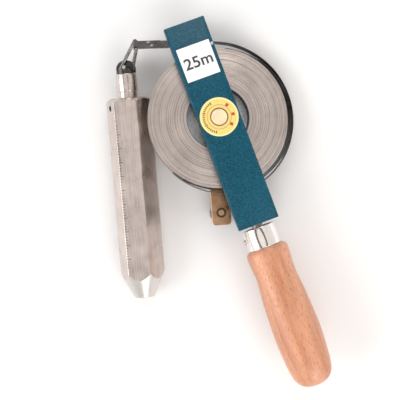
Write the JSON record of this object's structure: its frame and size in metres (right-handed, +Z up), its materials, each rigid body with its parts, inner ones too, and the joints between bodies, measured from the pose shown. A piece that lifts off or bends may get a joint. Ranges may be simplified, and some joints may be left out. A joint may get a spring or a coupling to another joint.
{
  "type": "surveyor tape reel",
  "caption": "Hand-cranked dip tape: a steel tape on an open reel between two cheeks, with a wooden handle and a hexagonal plumb bob on a link.",
  "frame": {"origin": "on the table, under the middle of the whole object's bounding box", "axes": "+Z up from the table, handle towards -Y, bob on the -X side; the reel's own axle leans 14 degrees towards +X as it lies"},
  "size_m": [0.1622, 0.2762, 0.0459],
  "materials": {
    "teal_paint": "hammered gloss",
    "steel": "satin",
    "zinc": "zinc plated",
    "polished_steel": "polished",
    "brass": "satin",
    "chrome": "polished",
    "beech": "varnished",
    "white_label": "matt",
    "gold_label": "gloss",
    "dark_tape": "blued",
    "zinc_axle": "satin",
    "tape_steel": "wound edges",
    "yellow_zinc": "yellow zinc plated",
    "black_plastic": "gloss",
    "bob_steel": "machined",
    "black_metal": "gloss black"
  },
  "bodies": {
    "frame": {"front_cheek": "teal_paint", "rear_cheek": "teal_paint", "end_block": "steel", "cheek_screws": "teal_paint", "top_spacer": "steel", "spacer_rivet": "teal_paint", "guide_pin": "polished_steel", "front_bush": "brass", "rear_bush": "brass", "ferrule": "chrome", "ferrule_screw": "chrome", "handle_grip": "beech", "handle_tang": "steel", "length_label": "white_label", "maker_disc": "gold_label", "tape_lead": "dark_tape", "tape_fold": "dark_tape", "fold_rivets": "zinc"},
    "drum": {"axle": "zinc_axle", "drum_plate": "zinc", "drum_rivets": "zinc", "drum_hub": "steel", "anchor_screw": "zinc", "tape_coil": "tape_steel", "crank_arm": "yellow_zinc", "crank_nut": "zinc", "knob_spindle": "yellow_zinc", "spindle_washer": "yellow_zinc"},
    "knob": {"crank_knob": "black_plastic"},
    "link": {"hook_link": "steel"},
    "bob": {"bob_body": "bob_steel", "stop_ring": "steel", "hook_head": "black_metal", "cross_pin": "steel", "sleeve_spring": "steel"},
    "sleeve": {"coupling_sleeve": "polished_steel"}
  },
  "joints": [
    {"name": "drum_spin", "type": "hinge", "parent": "frame", "child": "drum", "pos_m": [0.02669, 0.06408, 0.0181], "axis": [0.2419, 0.0626, 0.9683], "range_deg": [-25, 200]},
    {"name": "knob_spin", "type": "hinge", "parent": "drum", "child": "knob", "pos_m": [0.00264, -0.00086, 0.00675], "axis": [0.2419, 0.0626, 0.9683], "continuous": true},
    {"name": "link_swing", "type": "hinge", "parent": "frame", "child": "link", "pos_m": [-0.00858, 0.13352, 0.02242], "axis": [-0.0166, -0.577, 0.8165], "range_deg": [-90, 0]},
    {"name": "bob_swing", "type": "hinge", "parent": "link", "child": "bob", "pos_m": [-0.02251, 0.12228, 0.0142], "axis": [0, 0, 1], "range_deg": [-35, 0]},
    {"name": "sleeve_slide", "type": "slide", "parent": "bob", "child": "sleeve", "axis": [-0.2874, -0.9578, 0], "range_m": [0, 0.004], "stiffness_N_per_m": 400, "springref_m": -0.008, "deforming": ["sleeve_spring"]}
  ]
}
